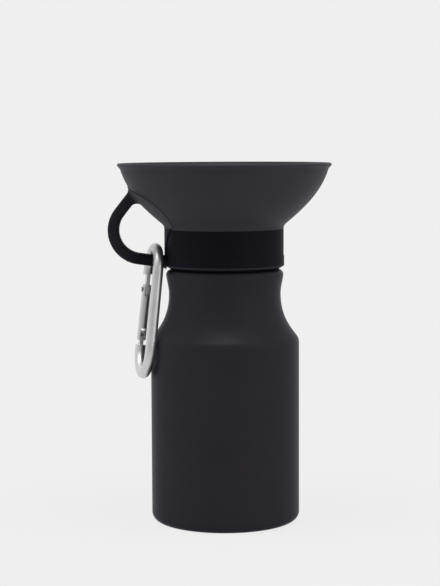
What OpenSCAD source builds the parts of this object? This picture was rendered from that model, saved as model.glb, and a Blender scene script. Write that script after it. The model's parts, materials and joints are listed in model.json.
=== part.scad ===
// Travel water bottle for a dog, in millimetres. Squeezing the bottle sends water
// up the dip tube and past a plug valve into the bowl on top; letting go drains it back.
// The origin is the centre of the foot, +Z is up, and the carrying loop is on the -X side.

/* [Bottle] */
// Diameter of the straight body
body_d = 75; // [70:0.5:80]
// Height of the flat shoulder round the neck, above the waist
shoulder_up = 11.9; // [9:0.1:16]
// Diameter over the rounded edge of the shoulder
shoulder_d = 59.2; // [57:0.2:61]
// Radius that rounds the edge of the shoulder
shoulder_r = 2.6; // [1.6:0.1:3.2]
// Diameter at the narrowest part of the waist
waist_d = 56.4; // [54.6:0.2:58]
// Height of the narrowest part of the waist
waist_h = 115.7; // [113:0.1:118]
// Height where the straight body starts to turn in
knee_h = 90.5; // [86:0.5:94]
// Radius of that turn
knee_r = 6; // [4:0.5:8]
// Slope of the wall above the turn, in degrees from upright
knee_slope = 39; // [34:1:42]
// Radius between the side and the foot
base_r = 4.3; // [3:0.1:7]
// Height that the middle of the base is pushed up
base_push = 3; // [1.5:0.5:5]
// Width of the ring that the bottle stands on
foot_w = 3; // [2:0.5:5]
// Thickness of the bottle's wall
bottle_wall = 1.6; // [1.2:0.1:2.2]

/* [Neck] */
// Diameter of the neck between its threads
neck_d = 50.2; // [48:0.2:51]
// Thickness of the neck
neck_wall = 1.8; // [1.4:0.1:2.2]
// Radial room for the threads between the neck and the skirt
thread_room = 1.8; // [1.5:0.1:2.2]

/* [Bowl] */
// Diameter of the bowl over its lip
rim_d = 107.6; // [102:0.2:112]
// Height of the lip above the top of the collar
bowl_h = 33; // [29:0.5:37]
// Thickness of the bowl's wall
bowl_wall = 1.8; // [1.4:0.1:2.4]
// Thickness of the bowl's floor
floor_t = 2.4; // [1.8:0.1:3]
// Thickness of the threaded skirt
skirt_wall = 1.4; // [1.1:0.1:1.8]
// Slope of the flank just above the collar, in degrees from upright
flank_low = 50; // [44:1:54]
// Slope of the flank just under the lip, in degrees from upright
flank_high = 17; // [12:1:24]
// Radius between the collar and the flank
flank_r = 3.5; // [2.5:0.1:5]
// Radius of the bead round the lip
lip_r = 0.9; // [0.7:0.05:1.1]
// How far the lip turns out past the flank
lip_out = 1.5; // [1.1:0.1:2]
// Height over which the lip turns out
lip_h = 2.9; // [2.4:0.1:3.6]
// Diameter of the water port in the floor
port_d = 12; // [10:0.5:14]
// Slope of the port's sealing cone, in degrees from upright
port_slope = 25; // [20:1:30]

/* [Grip sleeve] */
// Height of the collar
collar_h = 20.2; // [19:0.2:22]
// Thickness of the sleeve on the skirt
sleeve_t = 1.4; // [1:0.1:1.8]
// How far the band round the bottom stands out
band_t = 0.25; // [0.15:0.05:0.5]
// Height of that band above its bevel
band_h = 4.8; // [3:0.2:7]
// Height of the bevel under the band
bevel_h = 1.8; // [1.2:0.1:2.2]
// Thickness of the lip that wraps under the skirt
under_t = 1.1; // [0.8:0.1:1.4]
// Thickness of the pad that joins the loop to the bowl
pad_t = 0.6; // [0.4:0.1:1]
// Width of the pad on the flank
pad_w = 49; // [40:1:56]
// Height of the pad's top above the collar
pad_h = 20; // [17:0.5:22]

/* [Carrying loop] */
// Thickness of the strap
strap_t = 5.6; // [4.6:0.1:6.4]
// Width of the strap
strap_w = 9.5; // [8:0.5:11]
// Radius that rounds the strap's edges
strap_edge = 1.8; // [1.2:0.1:2.2]
// Radius of the bow, at the middle of the strap
bow_r = 14.4; // [13:0.2:16]
// Distance from the collar to the centre of the bow
bow_reach = 11.75; // [11:0.25:13]
// Height of the centre of the bow above the collar's bottom
bow_h = 19.6; // [19:0.2:20.6]
// Slope of the strap where it runs to the collar, in degrees
low_slope = 8; // [5:1:11]
// Slope of the strap where it runs to the bowl, in degrees
high_slope = 52; // [48:1:56]
// Radius in the top corner of the eye
eye_r = 3.7; // [3:0.1:4.2]
// Radius of the smaller corners where the strap joins
root_r = 2; // [1.4:0.1:2.4]

/* [Neck insert] */
// Thickness of the flange on the bottle's lip
flange_t = 1.3; // [1:0.1:1.6]
// Diameter of the cup's bore
cup_d = 38.4; // [37.6:0.1:39]
// Depth of the cup below the flange
cup_h = 10.4; // [9.6:0.2:12]
// Thickness of the cup's floor
cup_floor = 1.6; // [1.2:0.1:2]
// Width of each leg under the plug's disc
leg_w = 2; // [1.4:0.2:2.4]
// Length of the socket for the dip tube
socket_l = 10; // [8:0.5:14]
// Thickness of the socket
socket_wall = 1.45; // [1.2:0.05:2]

/* [Plug] */
// Diameter of the disc under the plug
disc_d = 13.6; // [12.4:0.2:14.4]
// Thickness of that disc
disc_t = 1.4; // [1:0.1:1.8]
// Distance from the bowl's underside down to the disc
disc_drop = 1.6; // [1.2:0.1:2]
// Diameter of the post that holds the plug
post_d = 3.8; // [3.2:0.2:4.2]
// Length of the post under its head
post_l = 2.1; // [1.7:0.1:2.4]
// Height of the post's head
head_l = 1.1; // [0.8:0.1:1.3]
// How far the head stands out past the post
head_out = 0.6; // [0.4:0.1:0.8]
// Height of the plug's upper edge above the bowl's floor
plug_rise = 0.6; // [0.3:0.1:1]
// Height of the plug's crown above that edge
crown_h = 1.2; // [0.9:0.1:1.6]
// Bevel round the plug's lower edge
plug_bevel = 0.6; // [0.4:0.1:0.8]

/* [Seals] */
// Thickness of the ring between the insert and the neck
neck_ring_d = 2; // [1.6:0.1:2.1]
// Thickness of the ring between the bowl and the insert
bowl_ring_d = 1.8; // [1.5:0.1:2]
// Thickness of the bowl's cylinder that carries that ring
seal_wall = 3; // [2.6:0.1:3.4]
// Height of the ring's middle above the end of the cylinder
ring_up = 2.8; // [2.4:0.1:3.4]
// Gap between the end of the cylinder and the floor of the cup
seal_gap = 2; // [1.2:0.1:2.6]
// Bevel round the end of the cylinder
seal_bevel = 0.6; // [0.4:0.1:0.8]

/* [Dip tube] */
// Outer diameter of the tube
tube_d = 9; // [8:0.2:9.6]
// Wall of the tube
tube_wall = 1; // [0.8:0.1:1.3]
// Gap between the tube's end and the floor of the bottle
tube_gap = 3; // [2:0.5:6]
// Slope of the tube's cut end, in degrees
tube_cut = 35; // [20:1:45]

/* [Splash dome] */
// Diameter of the dome over the port
dome_d = 24; // [22:0.5:28]
// Height of the dome above the floor
dome_h = 8.6; // [7.6:0.2:9.4]
// Wall of the dome
dome_wall = 1.2; // [1:0.1:1.5]
// Number of windows in the side of the dome
dome_windows = 6; // [4:1:8]
// Width of each window
window_w = 6; // [4:0.5:7]
// Height of each window's sill above the floor
sill_h = 1.6; // [1.3:0.1:2.2]
// Height of the crown above the dome's side
dome_crown = 2.6; // [2:0.1:3.2]
// Width of the ring that the dome is pressed over
seat_w = 1.4; // [1:0.1:2]
// Height of that ring
seat_h = 1.2; // [0.8:0.1:1.6]
// How far the bowl's inside takes to turn into its floor
floor_blend = 10; // [6:0.5:12]

/* [Clip] */
// Length of the clip from end to end
clip_l = 68.5; // [64:0.5:74]
// Diameter of the clip's rod
rod_d = 5.3; // [4.6:0.1:5.6]
// Radius of the bend that hangs on the loop, at the middle of the rod
top_r = 12; // [11:0.2:13]
// Radius of the lower bend
bottom_r = 13.4; // [12.6:0.2:14.4]
// Distance of the hanging bend from the collar
clip_out = 4.85; // [4.5:0.05:6]
// Turn of the clip about the upright, in degrees
clip_yaw = 13; // [8:1:16]
// Tilt of the clip in its own plane, in degrees
clip_roll = 8; // [5:1:10]
// Thickness of the flats that enter the gate
flat_t = 1.8; // [1.4:0.1:2]
// Width of the upper flat
flat_w = 4.2; // [3.4:0.1:4.4]

/* [Gate] */
// Diameter of the gate
gate_d = 4.6; // [4.2:0.1:5]
// Bore of the gate for its spring
gate_bore = 3; // [2.6:0.1:3.2]
// Distance from the upper bend to the end of the rod
rod_end = 1.7; // [1.2:0.1:2.2]
// Gap between the end of the rod and the gate
gate_gap = 5.2; // [4.4:0.1:5.6]
// Distance of the rivet from the gate's upper end
rivet_in = 2.6; // [2.2:0.1:3]
// Gap between the gate and the hook's end
hook_gap = 2.4; // [2:0.1:3.2]
// Diameter of the rivet
rivet_d = 1.6; // [1.2:0.1:1.8]
// Diameter of the latch pin
pin_d = 1.3; // [1:0.1:1.5]
// Distance of the latch pin from the gate's lower end
pin_in = 2.8; // [2.4:0.1:3.2]
// How far the hook's nose reaches over the latch pin
nose_l = 1.3; // [1:0.1:1.6]
// Room over the nose, and thickness of the web under the spring
nose_room = 1.2; // [0.9:0.1:1.5]
// Length of the plunger's head
plunger_l = 2.6; // [2:0.1:3.2]
// Length of the plunger's stem inside the spring
stem_l = 3; // [2:0.1:4]
// Diameter of the spring's wire
wire_d = 0.4; // [0.3:0.05:0.5]
// Number of turns in the spring
spring_turns = 10; // [6:1:12]

/* [Fits] */
// Gap between the collar and the bottle's shoulder
shoulder_gap = 0.3; // [0.3:0.05:0.6]
// Gap between the sleeve and the bowl under it
sleeve_fit = 0.05; // [0.02:0.01:0.1]
// Gap between the flange and the bowl's floor
floor_gap = 0.7; // [0.5:0.05:1]
// Step from the top of the collar down to the bowl's floor
floor_drop = 0.7; // [0.4:0.05:1]
// Radial gap of the parts that slide or turn in each other
slide_fit = 0.3; // [0.2:0.05:0.4]
// Radial gap of the seals, the rivet and the tube in their bores
snug_fit = 0.05; // [0.03:0.01:0.08]
// Radial gap of the insert in the neck
insert_fit = 0.2; // [0.15:0.05:0.3]
// Gap round the head of the post inside the plug
head_fit = 0.15; // [0.1:0.01:0.2]
// Radial gap of the dome on its ring
dome_fit = 0.1; // [0.05:0.01:0.15]
// Gap of the plug in the closed port
plug_gap = 0.15; // [0.1:0.01:0.2]
// Gap between the hanging clip and what it touches
clip_gap = 0.3; // [0.25:0.05:0.5]
// Radial gap of the spring in the gate's bore
coil_fit = 0.2; // [0.15:0.01:0.25]
// Gap each side of the flats in the gate's slots
slot_fit = 0.15; // [0.1:0.01:0.2]
// Room in height for each ring in its groove
groove_room = 0.2; // [0.1:0.05:0.3]

/* [Hidden] */
$fn = 96;
rod_fn = 40;
join = 0.01;
leg_sink = 0.2;

// Radii, and heights from the foot up
shoulder_h = waist_h + shoulder_up;
body_r = body_d / 2;
neck_r = neck_d / 2;
bore_r = neck_r - neck_wall;
skirt_in = neck_r + thread_room;
skirt_out = skirt_in + skirt_wall;
collar_r = skirt_out + sleeve_fit + sleeve_t;
rim_r = rim_d / 2;
collar_z = shoulder_h + shoulder_gap;
skirt_z = collar_z + under_t + sleeve_fit;
collar_top = collar_z + collar_h;
floor_z = collar_top - floor_drop;
under_z = floor_z - floor_t;
flange_z = under_z - floor_gap;
neck_top = flange_z - flange_t;
rim_z = collar_top + bowl_h;

// Points along a cubic curve, and along part of a circle
function curve(a, b, c, d, n = 14) =
    [for (i = [0:n]) let (t = i / n, s = 1 - t) s * s * s * a + 3 * s * s * t * b + 3 * s * t * t * c + t * t * t * d];
function bend(c, r, from, to, n = 8) = [for (i = [0:n]) c + r * dir(from + (to - from) * i / n)];
function dir(a) = [cos(a), sin(a)];
// Runs of points one after another, where each starts at the last one's end
function chain(runs) = [for (i = [0:len(runs) - 1], k = [min(i, 1):len(runs[i]) - 1]) runs[i][k]];
function backwards(p) = [for (i = [len(p) - 1:-1:0]) p[i]];
// The same points moved sideways by d, to the left of the way they run
function beside(p, d) = [
    for (i = [0:len(p) - 1])
        let (t = p[min(i + 1, len(p) - 1)] - p[max(i - 1, 0)]) p[i] + d * [-t[1], t[0]] / norm(t)
];
function rounded(w, h, r, n = 4) = concat(
    bend([w / 2 - r, h / 2 - r], r, 0, 90, n), bend([r - w / 2, h / 2 - r], r, 90, 180, n),
    bend([r - w / 2, r - h / 2], r, 180, 270, n), bend([w / 2 - r, r - h / 2], r, 270, 360, n)
);

// ---- Bottle ----
waist = [waist_d / 2, waist_h];
knee_end = [body_r - knee_r, knee_h] + knee_r * dir(knee_slope);
edge = [shoulder_d / 2 - shoulder_r, shoulder_h - shoulder_r];
edge_start = edge + [shoulder_r, 0];
grip_pull = [0.399, 0.414] * (waist_h - knee_end[1]);
flare_pull = 0.3 * (edge_start[1] - waist_h);
bottle_outside = chain([
    curve([0, base_push], [body_r * 0.35, base_push], [body_r * 0.68, base_push * 0.9],
        [body_r - base_r - foot_w, 0], 10),
    concat([[body_r - base_r - foot_w, 0]], bend([body_r - base_r, base_r], base_r, -90, 0)),
    concat([[body_r, base_r]], bend([body_r - knee_r, knee_h], knee_r, 0, knee_slope)),
    curve(knee_end, knee_end + grip_pull[0] * dir(90 + knee_slope), waist - [0, grip_pull[1]], waist, 18),
    curve(waist, waist + [0, flare_pull], edge_start - flare_pull * [0.11, 1], edge_start, 8),
    bend(edge, shoulder_r, 0, 90)
]);

module bottle() {
    color([0.16, 0.16, 0.17])
    rotate_extrude() polygon(concat(
        bottle_outside,
        [[neck_r, shoulder_h], [neck_r, neck_top], [bore_r, neck_top], [bore_r, shoulder_h - bottle_wall]],
        backwards(beside(bottle_outside, bottle_wall))
    ));
}

// ---- Neck insert with its seals, the plug and the dip tube ----
cup_r = cup_d / 2;
cup_z = neck_top + flange_t - cup_h;
insert_r = bore_r - insert_fit;
insert_bevel = 1;
flange_r = neck_r - insert_fit / 2;
neck_ring_r = bore_r - snug_fit - neck_ring_d / 2;
neck_ring_z = cup_z + neck_ring_d;
disc_z = under_z - disc_drop;
plug_top = floor_z + plug_rise;
tube_r = tube_d / 2;
socket_r = tube_r + snug_fit;
tube_top = cup_z - cup_floor;
post_r = post_d / 2;
head_z = disc_z + post_l;

// Radius of the port's cone at height z, and of the plug in it
function port_at(z) = port_d / 2 + (floor_z - z) * tan(port_slope);
function plug_at(z) = port_at(z) - plug_gap / cos(port_slope);

// Outline of a ring seal's groove, from its mouth at radius r inwards
module groove(r, depth, z, h) {
    rotate_extrude() translate([r - depth, z - h / 2]) square([depth + 1, h]);
}

module neck_insert() {
    color([0.30, 0.30, 0.32])
    union() {
        difference() {
            rotate_extrude() polygon([
                [tube_r - tube_wall, tube_top], [socket_r, tube_top], [socket_r, tube_top - socket_l],
                [socket_r + socket_wall, tube_top - socket_l], [socket_r + socket_wall, tube_top],
                [insert_r - insert_bevel, tube_top], [insert_r, tube_top + insert_bevel], [insert_r, neck_top],
                [flange_r, neck_top], [flange_r, flange_z], [cup_r, flange_z],
                [cup_r, cup_z], [tube_r - tube_wall, cup_z]
            ]);
            groove(insert_r, insert_r - neck_ring_r + neck_ring_d / 2 + snug_fit, neck_ring_z, neck_ring_d + groove_room);
        }
        for (turn = [0:120:240]) rotate(turn)
            translate([tube_r, -leg_w / 2, cup_z - leg_sink])
                cube([disc_d / 2 - tube_r, leg_w, disc_z - disc_t - cup_z + 2 * leg_sink]);
        rotate_extrude() polygon([
            [0, disc_z - disc_t], [disc_d / 2, disc_z - disc_t], [disc_d / 2, disc_z], [post_r, disc_z],
            [post_r, head_z], [post_r + head_out, head_z], [post_r - head_out / 2, head_z + head_l],
            [0, head_z + head_l]
        ]);
    }
}

module insert_o_ring() {
    color([0.12, 0.12, 0.12])
    translate([0, 0, neck_ring_z]) rotate_extrude() translate([neck_ring_r, 0]) circle(d = neck_ring_d, $fn = rod_fn);
}

module dip_tube() {
    tube_foot = base_push + bottle_wall + tube_gap;
    color([0.86, 0.88, 0.90])
    difference() {
        translate([0, 0, tube_foot]) cylinder(r = tube_r, h = tube_top - tube_foot);
        translate([0, 0, tube_foot - 1]) cylinder(r = tube_r - tube_wall, h = tube_top - tube_foot + 2);
        translate([-tube_r, 0, tube_foot]) rotate([0, -tube_cut, 0])
            translate([-tube_d, -tube_d, -2 * tube_d]) cube([4 * tube_d, 2 * tube_d, 2 * tube_d]);
    }
}

module plug_seal() {
    crown = plug_at(plug_top);
    color([0.55, 0.56, 0.58])
    rotate_extrude() polygon(concat(
        [
            [post_r + snug_fit, disc_z], [plug_at(disc_z) - plug_bevel, disc_z],
            [plug_at(disc_z + plug_bevel), disc_z + plug_bevel]
        ],
        curve([crown, plug_top], [crown, plug_top + crown_h * 0.6], [crown / 2, plug_top + crown_h],
            [0, plug_top + crown_h], 8),
        [
            [0, head_z + head_l + head_fit], [post_r, head_z + head_l + head_fit],
            [post_r + head_out + head_fit, head_z - snug_fit], [post_r + snug_fit, head_z - snug_fit]
        ]
    ));
}

// ---- Bowl, with the cylinder that seals in the insert's cup ----
seal_r = cup_r - slide_fit;
seal_z = cup_z + seal_gap;
bowl_ring_r = cup_r - snug_fit - bowl_ring_d / 2;
bowl_ring_z = seal_z + ring_up;
seat_r = dome_d / 2 - dome_wall - dome_fit;

flank_foot = [collar_r + flank_r, collar_top] + flank_r * dir(180 - flank_low);
flank_end = [rim_r - lip_out, rim_z - lip_h];
flank_pull = norm(flank_end - flank_foot);
flank = curve(
    flank_foot, flank_foot + 0.375 * flank_pull * dir(90 - flank_low),
    flank_end - 0.345 * flank_pull * dir(90 - flank_high), flank_end, 18
);
flank_outside = chain([bend([collar_r + flank_r, collar_top], flank_r, 180, 180 - flank_low, 6), flank]);
inner_flank = backwards(beside(flank, bowl_wall));
inner_end = inner_flank[len(inner_flank) - 1];
bead = [rim_r - lip_r, rim_z - lip_r];
bead_from = -50;
bead_to = 100;
bead_end = bead + lip_r * dir(bead_to);

module bowl_o_ring() {
    color([0.12, 0.12, 0.12])
    translate([0, 0, bowl_ring_z]) rotate_extrude() translate([bowl_ring_r, 0]) circle(d = bowl_ring_d, $fn = rod_fn);
}

module bowl() {
    color([0.20, 0.20, 0.21])
    difference() {
        rotate_extrude() polygon(concat(
            [
                [port_at(under_z), under_z], [seal_r - seal_wall, under_z], [seal_r - seal_wall, seal_z],
                [seal_r - seal_bevel, seal_z], [seal_r, seal_z + seal_bevel], [seal_r, under_z],
                [skirt_in, under_z], [skirt_in, skirt_z], [skirt_out, skirt_z], [skirt_out, collar_top]
            ],
            flank_outside,
            bend(bead, lip_r, bead_from, bead_to),
            curve(bead_end, bead_end - lip_r * [1.1, 0.22], inner_flank[0] + 1.8 * lip_r * dir(90 - flank_high),
                inner_flank[0], 6),
            inner_flank,
            curve(inner_end, inner_end - 0.4 * floor_blend * dir(90 - flank_low),
                [inner_end[0] - 0.55 * floor_blend, floor_z], [inner_end[0] - floor_blend, floor_z], 8),
            [
                [seat_r, floor_z], [seat_r, floor_z + seat_h], [seat_r - seat_w, floor_z + seat_h],
                [seat_r - seat_w, floor_z], [port_at(floor_z), floor_z]
            ]
        ));
        groove(seal_r, seal_r - bowl_ring_r + bowl_ring_d / 2 + snug_fit, bowl_ring_z, bowl_ring_d + groove_room);
    }
}

// ---- Grip sleeve: the collar, the pad on the flank and the carrying loop ----
band_r = collar_r + band_t;
bevel_in = skirt_in + 2 * sleeve_fit;
band_z = collar_z + bevel_h;
pad_r = collar_r + pad_t;
pad_top = collar_top + pad_h;
pad_shoulder = 0.4 * pad_h;
pad_root = 3;
pad_margin = 0.8;
bow = [-collar_r - bow_reach, collar_z + bow_h];
bow_from = 90 + high_slope;
bow_to = 270 - low_slope;
low_start = bow + bow_r * dir(bow_to);
high_start = bow + bow_r * dir(bow_from);
strap_over = strap_t / 2 / cos(low_slope);

// Height of the middle of the strap at x on its run to the collar
function strap_z(x) = low_start[1] - (x - low_start[0]) * tan(low_slope);
// Radius of the flank's outside at height z
function flank_at(z) = lookup(z, [for (p = flank_outside) [p[1], p[0]]]);
// Height where a line rising from p at high_slope meets the flank, grown by t
function meets(p, t, low, high, n = 24) =
    let (z = (low + high) / 2, x = p[0] + (z - p[1]) / tan(high_slope))
    n == 0 ? z : x + flank_at(z) + t > 0 ? meets(p, t, low, z, n - 1) : meets(p, t, z, high, n - 1);
function meeting(p, t) = let (z = meets(p, t, collar_top, rim_z - 4)) [p[0] + (z - p[1]) / tan(high_slope), z];

strap_in = high_start + strap_t / 2 * dir(high_slope - 90);
strap_out = high_start - strap_t / 2 * dir(high_slope - 90);
eye_corner = meeting(strap_in, pad_t);
top_corner = meeting(strap_out, 0);

// Slope of the flank at height z, in degrees from upright
function flank_slope(z) = atan2(flank_at(z + 1) - flank_at(z - 1), 2);

module in_loop_plane() { rotate([90, 0, 0]) children(); }
module strap_section() { polygon(rounded(strap_t, strap_w, strap_edge)); }
// A straight run starts a hair inside the bow, so that the two are one solid
module strap_run(from, heading, l) {
    translate(from - join * dir(heading)) rotate(heading) rotate([90, 0, 90]) linear_extrude(l + join) strap_section();
}
// Fills the corner between two faces that leave it at angles a and b
module corner_fill(corner, a, b, r) {
    half = (b - a) / 2;
    middle = corner + r / sin(half) * dir(a + half);
    reach = r / tan(half);
    linear_extrude(strap_w - strap_edge, center = true) difference() {
        polygon([corner - 2 * dir(a + half), corner + reach * dir(a), middle, corner + reach * dir(b)]);
        translate(middle) circle(r);
    }
}

module bowl_envelope() {
    rotate_extrude() polygon(concat(
        [[0, skirt_z - sleeve_fit], [skirt_out + sleeve_fit, skirt_z - sleeve_fit], [skirt_out + sleeve_fit, collar_top]],
        beside(flank_outside, -sleeve_fit), [[rim_r, rim_z], [0, rim_z]]
    ));
}

module loop() {
    difference() {
        in_loop_plane() {
            translate(bow) rotate(bow_from) rotate_extrude(angle = bow_to - bow_from)
                translate([bow_r, 0]) strap_section();
            strap_run(low_start, -low_slope, -collar_r + sleeve_t / 2 - low_start[0]);
            strap_run(high_start, high_slope, norm(top_corner - high_start) + 4);
            corner_fill(eye_corner, 180 + high_slope, 270 + flank_slope(eye_corner[1]), eye_r);
            corner_fill(top_corner, 90 + flank_slope(top_corner[1]), 180 + high_slope, 1.5 * root_r);
            corner_fill([-pad_r, strap_z(-pad_r) + strap_over], 90, 180 - low_slope, root_r);
        }
        bowl_envelope();
        translate([0, 0, collar_z - 10]) cylinder(r = skirt_out + sleeve_fit, h = collar_h + 10);
    }
}

module pad() {
    wide = [pad_w / 2, pad_top - pad_shoulder];
    foot = [strap_w / 2 + pad_margin, band_z + pad_root];
    half = chain([
        curve([0, pad_top], [wide[0] * 0.57, pad_top], wide + [0, 0.7 * pad_shoulder], wide, 10),
        curve(wide, wide - [0, pad_shoulder], [foot[0] * 1.09, collar_top], foot, 12)
    ]);
    above = function (p) [for (q = p) if (q[1] > collar_top + 0.1 && q[1] < pad_top + 2) q];
    intersection() {
        rotate_extrude() polygon(concat(
            [
                [collar_r + sleeve_fit, collar_top], [collar_r - sleeve_t / 2, collar_top],
                [collar_r - sleeve_t / 2, foot[1]], [pad_r, foot[1]], [pad_r, collar_top]
            ],
            above(beside(flank_outside, -pad_t)), backwards(above(beside(flank_outside, -sleeve_fit)))
        ));
        translate([-rim_r, 0, 0]) rotate([90, 0, 90]) linear_extrude(rim_r - collar_r / 3)
            polygon(concat(half, [for (p = backwards(half)) [-p[0], p[1]]]));
    }
}

module grip_sleeve() {
    color([0.09, 0.09, 0.10])
    union() {
        rotate_extrude() polygon([
            [bevel_in, collar_z], [band_r, band_z], [band_r, band_z + band_h], [collar_r, band_z + band_h + band_t],
            [collar_r, collar_top], [skirt_out + sleeve_fit, collar_top], [skirt_out + sleeve_fit, collar_z + under_t],
            [bevel_in, collar_z + under_t]
        ]);
        pad();
        loop();
    }
}

// ---- Splash dome over the port ----
module splash_dome() {
    top = floor_z + dome_h;
    top_h = sill_h / 4;
    side = top - dome_crown;
    out = dome_d / 2;
    in = out - dome_wall;
    color([0.20, 0.20, 0.21])
    difference() {
        rotate_extrude() polygon(concat(
            [[out, floor_z]],
            curve([out, side], [out, side + 0.6 * dome_crown], [out * 0.7, top], [0, top], 10),
            backwards(curve([in, side], [in, side + 0.35 * dome_crown], [in * 0.7, top - dome_wall],
                [0, top - dome_wall], 10)),
            [[in, floor_z]]
        ));
        for (i = [0:dome_windows - 1]) rotate(360 / dome_windows * (i + 0.5))
            translate([in - dome_wall, -window_w / 2, floor_z + sill_h])
                cube([3 * dome_wall, window_w, side - floor_z - sill_h - top_h]);
    }
}

// ---- Clip: drawn flat, x across and y up, from the centre of its upper bend ----
rod_r = rod_d / 2;
low_bend = [bottom_r - top_r, -(clip_l - rod_d - top_r - bottom_r)];
gate_run = norm(low_bend);
gate_slant = asin((bottom_r - top_r) / gate_run) + atan2(low_bend[0], -low_bend[1]);

// The clip hangs on the strap at clip_x and leans until its spine rests on the bottle's knee
clip_x = -collar_r - clip_out;
top_in = top_r - rod_r;
strap_flat = strap_w / 2 - strap_edge;
clip_z = strap_z(clip_x) + strap_over + top_in - sqrt(top_in * top_in - strap_flat * strap_flat) + clip_gap + rod_r;
drop = clip_z - knee_h;
spine_y = -top_r * cos(clip_roll) - (drop - top_r + top_r * sin(clip_roll)) * tan(clip_roll);
spine_x = -spine_y * sin(clip_yaw);
rest_r = body_r + rod_r + clip_gap;
rest_x = sqrt(rest_r * rest_r - pow(spine_y * cos(clip_yaw), 2)) + clip_x;
clip_lean = atan(spine_x / drop) + asin(rest_x / norm([spine_x, drop]));

module hang_clip() {
    translate([clip_x, 0, clip_z]) rotate([0, clip_lean, 0]) translate([0, 0, -top_r])
        rotate([0, 0, clip_yaw]) rotate([-clip_roll, 0, 0]) rotate([90, 0, 90]) children();
}
// The gate's own line: down it from the end of the upper bend, x out of the clip
module gate_line() {
    translate(top_r * dir(gate_slant)) rotate(gate_slant) children();
}

rod_end_turn = asin(rod_end / top_r);
gate_top = -rod_end - gate_gap;
gate_foot = -gate_run + hook_gap;
rivet_y = gate_top - rivet_in;
pin_y = gate_foot + pin_in;
flat_end = rivet_y - flat_w / 2;
slot_w = flat_t + 2 * slot_fit;
upper_slot = rivet_y - 0.79 * flat_w;
nose_top = pin_y + pin_d / 2 + nose_l;
lower_slot = nose_top + nose_room;
spring_foot = lower_slot + nose_room;
plunger_top = flat_end - slot_fit;
spring_top = plunger_top - plunger_l;
spring_r = gate_bore / 2 - coil_fit - wire_d / 2;
// How far the flats and the nose run into the bends of the rod
flat_root = 0.5;

module rod_bend(c, r, sweep) {
    translate(c) rotate(180) rotate_extrude(angle = sweep) translate([r, 0]) circle(d = rod_d, $fn = rod_fn);
}

module carabiner_frame() {
    color([0.72, 0.73, 0.75])
    hang_clip() union() {
        mirror([0, 1, 0]) rod_bend([0, 0], top_r, 180 - gate_slant + rod_end_turn);
        translate([-top_r, low_bend[1], 0]) rotate([-90, 0, 0]) cylinder(d = rod_d, h = -low_bend[1], $fn = rod_fn);
        rod_bend(low_bend, bottom_r, 180 + gate_slant);
        gate_line() {
            difference() {
                translate([-flat_w / 2, flat_end, -flat_t / 2])
                    cube([flat_w, flat_root - rod_end - flat_end, flat_t]);
                translate([0, rivet_y, -rod_d]) cylinder(d = rivet_d, h = 2 * rod_d, $fn = rod_fn);
            }
            difference() {
                translate([-flat_w / 2 + 2 * slot_fit, -gate_run - flat_root, -flat_t / 2])
                    cube([flat_w - 2 * slot_fit, nose_top + gate_run + flat_root, flat_t]);
                translate([0, pin_y, -rod_d]) cylinder(d = pin_d + 2 * slot_fit, h = 2 * rod_d, $fn = rod_fn);
                translate([-rod_d, pin_y - pin_d / 2 - slot_fit, -rod_d])
                    cube([rod_d, pin_d + 2 * slot_fit, 2 * rod_d]);
            }
        }
    }
}

module gate_rivet() {
    head = 0.35;
    head_over = 0.5;
    color([0.60, 0.61, 0.63])
    hang_clip() gate_line() translate([0, rivet_y, 0]) union() {
        cylinder(d = rivet_d, h = gate_d + 2 * snug_fit, center = true, $fn = rod_fn);
        for (side = [-1, 1]) translate([0, 0, side * (gate_d / 2 + snug_fit + head / 2)])
            cylinder(d = rivet_d + 2 * head_over, h = head, center = true, $fn = rod_fn);
    }
}

module carabiner_gate() {
    color([0.68, 0.69, 0.71])
    hang_clip() gate_line() difference() {
        translate([0, gate_foot, 0]) rotate([-90, 0, 0]) cylinder(d = gate_d, h = gate_top - gate_foot, $fn = rod_fn);
        translate([0, spring_foot, 0]) rotate([-90, 0, 0])
            cylinder(d = gate_bore, h = gate_top - spring_foot + 1, $fn = rod_fn);
        translate([-gate_d, upper_slot, -slot_w / 2]) cube([2 * gate_d, gate_top - upper_slot + 1, slot_w]);
        translate([-gate_d, gate_foot - 1, -slot_w / 2]) cube([2 * gate_d, lower_slot - gate_foot + 1, slot_w]);
        translate([0, rivet_y, -gate_d]) cylinder(d = rivet_d + 2 * snug_fit, h = 2 * gate_d, $fn = rod_fn);
        translate([0, pin_y, -gate_d]) cylinder(d = pin_d, h = 2 * gate_d, $fn = rod_fn);
    }
}

module latch_pin() {
    color([0.60, 0.61, 0.63])
    hang_clip() gate_line() translate([0, pin_y, 0])
        cylinder(d = pin_d, h = gate_d - 2 * slot_fit, center = true, $fn = rod_fn);
}

module gate_plunger() {
    color([0.60, 0.61, 0.63])
    hang_clip() gate_line() translate([0, plunger_top, 0]) rotate([90, 0, 0]) union() {
        cylinder(d = gate_bore - coil_fit, h = plunger_l, $fn = rod_fn);
        cylinder(r = spring_r - wire_d / 2 - slot_fit, h = plunger_l + stem_l, $fn = rod_fn);
    }
}

// The spring's wire is a six-sided tube carried along a helix
module gate_spring() {
    sides = 6;
    steps = spring_turns * 12;
    l = spring_top - spring_foot - wire_d;
    points = [
        for (i = [0:steps], k = [0:sides - 1])
            let (turn = 360 * spring_turns * i / steps, a = 360 * k / sides, r = spring_r + wire_d / 2 * cos(a))
            [r * cos(turn), r * sin(turn), l * i / steps + wire_d / 2 * sin(a)]
    ];
    sides_of_wire = [
        for (i = [0:steps - 1], k = [0:sides - 1])
            let (a = i * sides + k, b = i * sides + (k + 1) % sides) [a, a + sides, b + sides, b]
    ];
    ends = [[for (k = [0:sides - 1]) k], [for (k = [sides - 1:-1:0]) steps * sides + k]];
    color([0.60, 0.61, 0.63])
    hang_clip() gate_line() translate([0, spring_foot + wire_d / 2, 0]) rotate([-90, 0, 0])
        polyhedron(points, concat(sides_of_wire, ends));
}

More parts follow.
